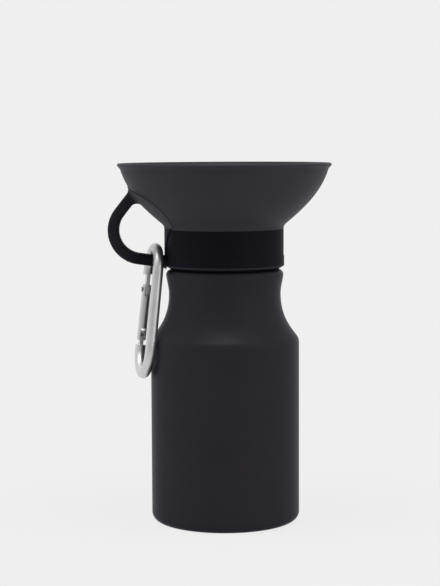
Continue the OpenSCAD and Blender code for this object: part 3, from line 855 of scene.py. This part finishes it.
@dataclass
class Sleeve:
    """The soft sleeve: a collar on the skirt, a pad on the flank and the carrying loop."""

    bowl: Bowl
    collar_h: float = 20.2
    sleeve_fit: float = 0.05
    band_t: float = 0.25
    band_h: float = 4.8
    bevel_h: float = 1.8
    bevel_corner: Pair = (0.35, 0.3)
    bevel_share: float = 0.3
    lip_play: float = 0.1
    under_t: float = 1.1
    edge_r: float = 0.3
    pad_t: float = 0.6
    pad_w: float = 49.0
    pad_h: float = 20.0
    pad_side: float = 8.0
    pad_crown: Pair = (0.57, 5.5)
    pad_foot: Pair = (0.8, 3.0)
    foot_lean: float = 0.5
    pad_edge: float = 0.7
    crown_steep: float = 1.2
    sunk_t: float = 0.6
    sunk_h: float = 0.8
    strap_t: float = 5.6
    strap_w: float = 9.5
    strap_edge: float = 1.8
    bow_r: float = 14.4
    bow_reach: float = 11.75
    bow_h: float = 19.6
    low_slope: float = 8.0
    high_slope: float = 52.0
    root_sink: float = 0.1
    root_r: Pair = (2.0, 0.9)
    tip_r: Pair = (3.7, 3.0)
    flare_w: float = 1.1
    flare_reach: float = 1.6
    hug_reach: float = 2.5
    # Painted highlight on the pad, where its face catches light: its reach from the pad and its fade above
    # the collar.
    pad_highlight_reach: float = 3.2
    pad_highlight_rise: float = 1.5
    # Painted lit tone on the loop, lighter where it stands out of the bowl's shade.
    loop_painted_light: float = 0.23
    loop_start: float = 8.0
    loop_reach: float = 16.0
    loop_rise: float = 6.0
    # Painted highlight line along the top of the collar's lower bevel; the collar's outline has a point at
    # its upper end.
    highlight_line_h: float = 0.45
    highlight_line_slope: float = 1.5
    highlight_line_share: float = 0.55

    @property
    def collar_z(self) -> float:
        """Height of the collar's lower edge."""
        return self.bowl.collar_top - self.collar_h

    def collar_outline(self) -> Array:
        """Section of the collar, anticlockwise from its lower inner corner.

        Returns:
            Points (radius, height).
        """
        bowl, z = self.bowl, self.collar_z
        inner = bowl.skirt_in + bowl.skirt_wall + self.sleeve_fit
        lip = np.array([bowl.skirt_in + self.lip_play, z])
        band_r, band_z = bowl.collar_r + self.band_t, z + self.bevel_h
        corner = np.array([band_r, band_z]) - self.bevel_corner
        return np.array([
            lip, corner + self.bevel_share * (lip - corner), corner, [band_r, band_z],
            # The point at the top of the painted highlight line over the bevel.
            [band_r, band_z + self.highlight_line_h], [band_r, band_z + self.band_h],
            [bowl.collar_r, band_z + self.band_h + self.band_t], [bowl.collar_r, bowl.collar_top],
            [inner, bowl.collar_top], [inner, z + self.under_t], [lip[0], z + self.under_t],
        ])

    def pad_points(self) -> Array:
        """The pad, closed: rows rise from the collar to the pad's top, columns go round its section.

        At each height the pad is as wide as its outline, a pair of cubic curves. A point at y lies at
        x = -sqrt(R^2 - y^2), where R is the flank's radius plus the pad's thickness. The thickness
        falls to nothing along a quarter ellipse within pad_edge of the edge. The back of the pad
        lies on the flank, and sinks into the collar below the collar's top.

        Returns:
            Grid of points.
        """
        bowl = self.bowl
        top = bowl.collar_top + self.pad_h
        wide = np.array([self.pad_w / 2, top - self.pad_side])
        foot = np.array([self.strap_w / 2, self.collar_z + self.bevel_h]) + self.pad_foot
        crown, shoulder = self.pad_crown
        half = chain(
            cubic([0, top], [wide[0] * crown, top], wide + [0, shoulder], wide, 60),
            cubic(wide, wide - [0, self.pad_side], [foot[0] + self.foot_lean, bowl.collar_top], foot, 90),
        )[::-1]
        width, z = half[:, :1], half[:, 1:]
        across = np.sin(np.linspace(-1, 1, 73) * math.pi / 2)[None, :]
        y = np.clip(width * across, -width, width)
        from_ends = np.minimum((top - z) * self.crown_steep, z - foot[1] + self.sleeve_fit)
        inside = np.minimum(width * (1 - np.abs(across)), from_ends)
        ellipse = np.sqrt(1 - (1 - np.clip(inside / self.pad_edge, 0, 1)) ** 2)
        rise = self.sleeve_fit + (self.pad_t - self.sleeve_fit) * ellipse
        sunk = self.sunk_t * step_up((bowl.collar_top - z) / self.sunk_h)
        heights = np.repeat(z, across.size, axis=1)
        skin = bowl.radius_at(heights)
        front, back = (np.stack([-np.sqrt((skin + thickness) ** 2 - y**2), y, heights], axis=-1)
                       for thickness in (rise, self.sleeve_fit - sunk))
        return np.concatenate([front, back[:, ::-1]], axis=1)

    def loop_outlines(self) -> tuple[Array, Array]:
        """The loop's inner and outer outline in its plane, point for point.

        Each is: a fillet on the collar, the low run, the bow, the high run and a fillet on the flank.

        Returns:
            Inner and outer outline, (x, z).
        """
        bowl = self.bowl
        bow = np.array([-bowl.collar_r - self.bow_reach, self.collar_z + self.bow_h])
        start, stop = 270 - self.low_slope, 90 + self.high_slope
        half = self.strap_t / 2
        low_way, high_way = heading(-self.low_slope), heading(self.high_slope)
        wall_x = -bowl.collar_r - self.root_sink
        outlines = []
        for side, root_r, tip_r in zip((1, -1), self.root_r, self.tip_r):
            radius = self.bow_r - side * half
            low_end, high_end = bow + radius * heading(start), bow + radius * heading(stop)
            at_wall = low_end + low_way * (wall_x - low_end[0]) / low_way[0]
            root = fillet(at_wall, np.array([0.0, side]), -low_way, root_r, 14)
            meet = self.meeting(high_end, high_way)
            tip = fillet(meet, -high_way, -side * self.flank_way(meet[1]), tip_r, 22)
            outlines.append(np.vstack([
                root, straight(root[-1], low_end, 10)[1:], arc(bow, radius, start, stop, 60)[1:],
                straight(high_end, tip[0], 16)[1:], tip[1:],
            ]))
        return outlines[0], outlines[1]

    def meeting(self, start: Array, way: Array) -> Array:
        """Where a line meets the pad's outside in the loop's plane.

        Args:
            start: A point (x, z) on the line.
            way: The line's direction.

        Returns:
            The point (x, z).
        """
        reach = np.linspace(0, 40, 4001)[:, None]
        line = start + reach * way
        gap = -line[:, 0] - (self.bowl.radius_at(line[:, 1]) + self.pad_t * 0.5)
        return line[int(np.argmax(gap < 0))]

    def flank_way(self, z: float) -> Array:
        """Direction up the flank at height z, in the loop's plane."""
        low, high = self.bowl.radius_at(np.array([z - 0.5, z + 0.5]))
        return heading(math.degrees(math.atan2(1.0, low - high)))

    def loop_points(self) -> Array:
        """The loop, carried between its two outlines with a rounded section.

        A section point lies at middle + a * unit and y = b, with a across the thickness and b
        along the width. Near both ends the points move in x by R - sqrt(R^2 - y^2), so that the
        ends lie on the round wall.

        Returns:
            Grid of points, closed round the section.
        """
        inner, outer = self.loop_outlines()
        middle, across = (inner + outer) / 2, (outer - inner) / 2
        thick = np.linalg.norm(across, axis=1)
        length = np.concatenate([[0], np.cumsum(np.linalg.norm(np.diff(middle, axis=0), axis=1))])
        to_end = np.minimum(length, length[-1] - length)
        near = 1 - np.clip(to_end / self.flare_reach, 0, 1)
        wide = self.strap_w / 2 + self.flare_w * (1 - np.sqrt(1 - near**2))
        angle = np.linspace(0, TURN, 64, endpoint=False)
        edge = self.strap_edge
        corner = np.stack([np.sign(np.cos(angle)), np.sign(np.sin(angle))], axis=1)
        away_a = corner[:, 0] * (thick[:, None] - edge) + edge * np.cos(angle)
        away_b = corner[:, 1] * (wide[:, None] - edge) + edge * np.sin(angle)
        unit = across / thick[:, None]
        x, z = (middle[:, [i]] + unit[:, [i]] * away_a for i in (0, 1))
        radius = np.maximum(self.bowl.radius_at(z), np.abs(away_b) + 1)
        hug = step_up(1 - to_end / self.hug_reach)[:, None]
        x = x + hug * (radius - np.sqrt(radius**2 - away_b**2))
        return np.stack([x, away_b, z], axis=-1)

    def build(self) -> None:
        """Makes the collar, the pad and the loop and joins them into one skin."""
        ring = soften(self.collar_outline(), self.edge_r)
        collar = grid_piece("sleeve", revolve(ring, 288), wrap_u=True, wrap_v=True, flip=True)
        pad = closed_piece("sleeve_pad", self.pad_points())
        loop = closed_piece("sleeve_loop", self.loop_points())
        for part in (pad, loop):
            unite(collar, part)
        shade(collar.data, 40)
        self.add_painted_light(collar.data)
        stand_in(collar, Body.LID, Slot.SLEEVE, "grip_sleeve")

    def add_painted_light(self, mesh: Mesh) -> None:
        """Marks painted light on the skin: a painted highlight on the pad, a fainter painted lit tone on the
        loop.

        The mark is 1 within the pad's thickness of the flank and falls to 0 in the highlight's reach. It
        fades out towards the collar's top. On the loop it is the loop's share of painted light, and fades out
        where the low run nears the collar. A painted highlight line runs along the edge over the collar's
        lower bevel.

        Args:
            mesh: The sleeve's mesh.
        """
        place = np.empty(len(mesh.vertices) * 3, np.float32)
        mesh.vertices.foreach_get("co", place)
        x, y, z = place.reshape(-1, 3).T / MM
        out = np.hypot(x, y) - self.bowl.radius_at(z) - self.pad_t
        above = z - self.bowl.collar_top
        # Painted highlight on the pad.
        mark = step_up(1 - out / self.pad_highlight_reach) * step_up(above / self.pad_highlight_rise)
        # Painted lit tone on the loop, away from the pad.
        far = np.maximum(step_up((out - self.loop_start) / self.loop_reach), step_up(above / self.loop_rise))
        # Painted highlight line on the edge over the collar's lower bevel.
        over = (z - self.collar_z - self.bevel_h) / self.highlight_line_h
        highlight_line = step_up(self.highlight_line_slope * (1 - over)) * step_up(self.highlight_line_slope + over)
        mark = np.maximum.reduce([mark, self.loop_painted_light * far, self.highlight_line_share * highlight_line])
        mesh.attributes.new("painted_light", "FLOAT", "POINT").data.foreach_set("value", mark.astype(np.float32))


def closed_piece(name: str, points: Array) -> Piece:
    """Makes a tube from a grid whose columns close, fills both ends and points its faces outwards.

    Args:
        name: Name of the piece.
        points: The grid.

    Returns:
        The piece.
    """
    piece = grid_piece(name, points, wrap_v=True)
    with editing(piece.data) as work:
        bmesh.ops.holes_fill(work, edges=[e for e in work.edges if e.is_boundary], sides=0)
        bmesh.ops.recalc_face_normals(work, faces=work.faces)
    return piece


def unite(piece: Piece, other: Piece) -> None:
    """Adds another closed piece to a piece, as one skin, and removes the other.

    Args:
        piece: The piece that grows.
        other: The piece that is used up.
    """
    union = piece.modifiers.new("unite", "BOOLEAN")
    union.operation = "UNION"
    union.solver = "EXACT"
    union.object = other
    bpy.context.view_layer.update()
    graph = bpy.context.evaluated_depsgraph_get()
    made = bpy.data.meshes.new_from_object(piece.evaluated_get(graph))
    piece.modifiers.clear()
    piece.data = made
    bpy.data.objects.remove(other)


# ---- The clip ----


@dataclass
class Clip:
    """The hanging clip's line: two bends joined by the spine and the gate.

    Its plane and its place come from the joints.
    """

    length: float = 68.5
    rod_d: float = 5.3
    top_r: float = 12.0
    bottom_r: float = 13.4

    @property
    def basis(self) -> Matrix:
        """Matrix from the clip's plane (x across, y up, z through) to the frame, in metres.

        The swing's axis and the gate's axis give the plane that leans but doesn't roll, and the
        plunger's way gives the roll.
        """
        swing, gate, plunger = (JOINTS[name] for name in ("clip_swing", "gate_swing", "plunger_slide"))
        through = -Vector(gate["axis"]).normalized()
        centre = Vector(swing["pos_m"]) - through.cross(Vector(swing["axis"])).normalized() * self.top_r * MM
        up = Matrix.Rotation(-math.radians(self.slant), 3, through) @ -Vector(plunger["axis"]).normalized()
        side = up.cross(through).normalized()
        return Matrix.Translation(centre) @ Matrix((side, up, through)).transposed().to_4x4()

    @property
    def low_bend(self) -> Array:
        """Centre of the lower bend."""
        drop = self.length - self.rod_d - self.top_r - self.bottom_r
        return np.array([self.bottom_r - self.top_r, -drop])

    @property
    def slant(self) -> float:
        """Slope of the gate's line, in degrees from the clip's own upright."""
        low = self.low_bend
        return math.degrees(math.asin((self.bottom_r - self.top_r) / np.linalg.norm(low))
                            + math.atan2(low[0], -low[1]))


@dataclass
class Spring:
    """The gate's coil spring, made at one length; it doesn't shorten as the plunger comes down."""

    wire_d: float = 0.4
    coil_r: float = 1.1
    turns: int = 10
    dead_turns: float = 1.0
    ease: float = 0.15
    stroke: float = 0.953

    def line(self) -> tuple[Array, Array, float]:
        """Reads where the solid lies.

        A coil of length l and outer radius r along the unit vector d reaches
        l |d_z| + 2 r sqrt(1 - d_z^2) in height, which gives l.

        Returns:
            The middle of the solid, the way down the gate, and the solid's length.
        """
        low, high = frame_mm("gate_spring")
        way = np.array(JOINTS["plunger_slide"]["axis"])
        outer = self.coil_r + self.wire_d / 2
        length = (high[2] - low[2] - 2 * outer * math.sqrt(1 - way[2] ** 2)) / abs(way[2])
        return (low + high) / 2, way, length

    def build(self) -> None:
        """Makes the wire: a round section carried along a helix that closes up at both ends."""
        middle, way, length = self.line()
        side = np.cross(way, [0.0, 1.0, 0.0])
        side /= np.linalg.norm(side)
        third = np.cross(way, side)
        turn = np.linspace(0, self.turns, self.turns * 40 + 1)
        closed = self.wire_d * np.minimum(np.minimum(turn, self.turns - turn), self.dead_turns)
        dead = self.wire_d * self.dead_turns
        even = np.clip((turn - self.dead_turns) / (self.turns - 2 * self.dead_turns), 0, 1)
        along = np.where(turn > self.turns / 2, 2 * dead - closed, closed) - (length - self.wire_d) / 2
        along += (length - self.wire_d - 2 * dead) * (self.ease * step_up(even) + (1 - self.ease) * even)
        around = np.linspace(0, TURN, 12, endpoint=False)
        radius = self.coil_r + self.wire_d / 2 * np.cos(around)[None, :]
        angle = turn[:, None] * TURN
        height = along[:, None] + self.wire_d / 2 * np.sin(around)[None, :]
        across = (radius * np.cos(angle))[..., None] * side + (radius * np.sin(angle))[..., None] * third
        points = middle + across + height[..., None] * way
        coil = closed_piece("coil_spring", points)
        stand_in(coil, Body.GATE, Slot.STEEL, "gate_spring")
        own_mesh(coil)


def keep_node(name: str, slot: Slot) -> None:
    """Keeps a CAD node and gives it the finish of a slot.

    Args:
        name: The node.
        slot: The record's slot of its finish.
    """
    piece = frame["nodes"][name]
    dress(piece, slot)


# ---- The studio ----


@dataclass(frozen=True)
class Softbox:
    """A flat lamp that looks at a point, for matt light, for gloss or for both."""

    name: str
    place: Triple
    target: Triple
    size: Pair
    power: float
    matt: bool = True
    gloss: bool = True

    def build(self) -> None:
        """Adds the lamp."""
        lamp = bpy.data.lights.new(self.name, "AREA")
        lamp.shape = "RECTANGLE"
        lamp.size, lamp.size_y = self.size
        lamp.energy = self.power
        holder = placed(self.name, lamp)
        holder.location = self.place
        way = Vector(self.target) - Vector(self.place)
        holder.rotation_euler = way.to_track_quat("-Z", "Y").to_euler()
        holder.visible_diffuse, holder.visible_glossy = self.matt, self.gloss


@dataclass(frozen=True)
class Studio:
    """The floor, the pale surroundings, the lamps and the camera."""

    background: float = 0.8632
    front: float = 0.48
    dim: float = 0.47
    floor_size: float = 6.0
    floor_albedo: float = 0.77
    floor_share: float = 0.09
    floor_fade: Pair = (0.05, 0.30)
    front_y: float = -0.7
    camera_place: Triple = (-0.00243, -0.838, 0.1918)
    camera_pitch: float = 5.2
    camera_roll: float = -0.25
    lens: float = 102.3
    lamps: tuple[Softbox, ...] = (
        Softbox("lamp_top", (0.0, -0.22, 1.1), (0, 0, 0.1), (1.4, 0.7), 8.5),
        Softbox("lamp_left", (-1.1, -0.15, 0.45), (0, 0, 0.1), (0.5, 1.0), 4.4, gloss=False),
        Softbox("lamp_right", (1.1, -0.2, 0.45), (0, 0, 0.1), (0.5, 1.0), 4.0, gloss=False),
        Softbox("lamp_knee", (0.0, -0.33, 1.1), (0, -0.33, 0), (0.52, 0.24), 11.0, matt=False),
        Softbox("lamp_sheen", (0.85, -0.75, 0.5), (0, 0, 0.1), (0.4, 1.0), 2.2, matt=False),
    )

    def seen_directly(self, shader: Shader) -> Socket:
        """A mask that is 1 for rays from the camera, a gloss or a clear body."""
        path = shader.node("LightPath").outputs
        return shader.maths("MAXIMUM", path["Is Camera Ray"],
                            shader.maths("MAXIMUM", path["Is Glossy Ray"], path["Is Transmission Ray"]))

    def surroundings(self, shader: Shader, place: Socket) -> Socket:
        """Brightness of the surroundings: pale, and in gloss darker towards the front.

        Args:
            shader: The tree that gets the nodes.
            place: A direction, or a place in metres, whose y runs from the front to the back.

        Returns:
            The brightness.
        """
        y = shader.node("SeparateXYZ", {"Vector": place}).outputs["Y"]
        room = shader.ramp(y, self.front_y, 0.0, self.front, self.background)
        return shader.ramp(shader.node("LightPath").outputs["Is Glossy Ray"], 0, 1, self.background, room)

    def build_world(self) -> None:
        """Lights the world dimly, and shows it pale to the camera and in gloss."""
        world = bpy.data.worlds.new("studio")
        world.use_nodes = True
        shader = Shader(world.node_tree)
        pale = self.surroundings(shader, shader.node("TexCoord").outputs["Generated"])
        strength = shader.ramp(self.seen_directly(shader), 0, 1, self.dim, pale)
        shader.fill(world.node_tree.nodes["Background"], {"Color": (1, 1, 1, 1), "Strength": strength})
        bpy.context.scene.world = world

    def build_floor(self) -> None:
        """Lays a pale floor that takes the bottle's shadow near it and melts into the background."""
        corners = np.array([[(-1, -1, 0), (-1, 1, 0)], [(1, -1, 0), (1, 1, 0)]])
        floor = grid_piece("floor", corners * self.floor_size / 2 / MM)
        material = bpy.data.materials.new("floor")
        material.use_nodes = True
        shader = Shader(material.node_tree)
        nodes = material.node_tree.nodes
        look = {"Base Color": (*[self.floor_albedo] * 3, 1), "Roughness": 0.9, "Specular IOR Level": 0.0}
        matt = shader.fill(nodes["Principled BSDF"], look)
        place = shader.node("TexCoord").outputs["Object"]
        glow = shader.node("Emission", {"Strength": self.surroundings(shader, place)})
        away = shader.node("VectorMath", {0: place}, operation="LENGTH").outputs["Value"]
        pale = shader.ramp(away, *self.floor_fade, 1 - self.floor_share, 1.0)
        share = shader.maths("MULTIPLY", self.seen_directly(shader), pale)
        mix = shader.node("MixShader", {0: share, 1: matt.outputs["BSDF"], 2: glow.outputs["Emission"]})
        shader.fill(nodes["Material Output"], {"Surface": mix.outputs["Shader"]})
        floor.data.materials.append(material)

    def build_camera(self) -> None:
        """Adds the camera at the photograph's angle."""
        camera = bpy.data.cameras.new("camera")
        camera.lens = self.lens
        camera.sensor_width = 36.0
        holder = placed("camera", camera)
        holder.location = self.camera_place
        turn = Matrix.Rotation(math.radians(90 - self.camera_pitch), 3, "X")
        holder.rotation_euler = (turn @ Matrix.Rotation(math.radians(self.camera_roll), 3, "Z")).to_euler()
        bpy.context.scene.camera = holder

    def build(self) -> None:
        """Builds the whole studio."""
        self.build_camera()
        self.build_world()
        self.build_floor()
        for lamp in self.lamps:
            lamp.build()
        bpy.context.scene.view_settings.view_transform = "Standard"


def main() -> None:
    logging.basicConfig(level=logging.INFO, format="%(name)s: %(message)s")
    Studio().build()
    bowl = Bowl()
    for maker in (Bottle(), bowl, Sleeve(bowl), Spring()):
        maker.build()
    kept = {
        "neck_insert": Slot.INSERT, "insert_o_ring": Slot.SEAL, "dip_tube": Slot.TUBE, "plug_seal": Slot.PLUG,
        "bowl_o_ring": Slot.SEAL, "splash_dome": Slot.BOWL, "carabiner_frame": Slot.CLIP,
        "gate_rivet": Slot.STEEL, "carabiner_gate": Slot.CLIP, "latch_pin": Slot.STEEL,
        "gate_plunger": Slot.STEEL,
    }
    for name, slot in kept.items():
        keep_node(name, slot)


if __name__ == "__main__":
    main()
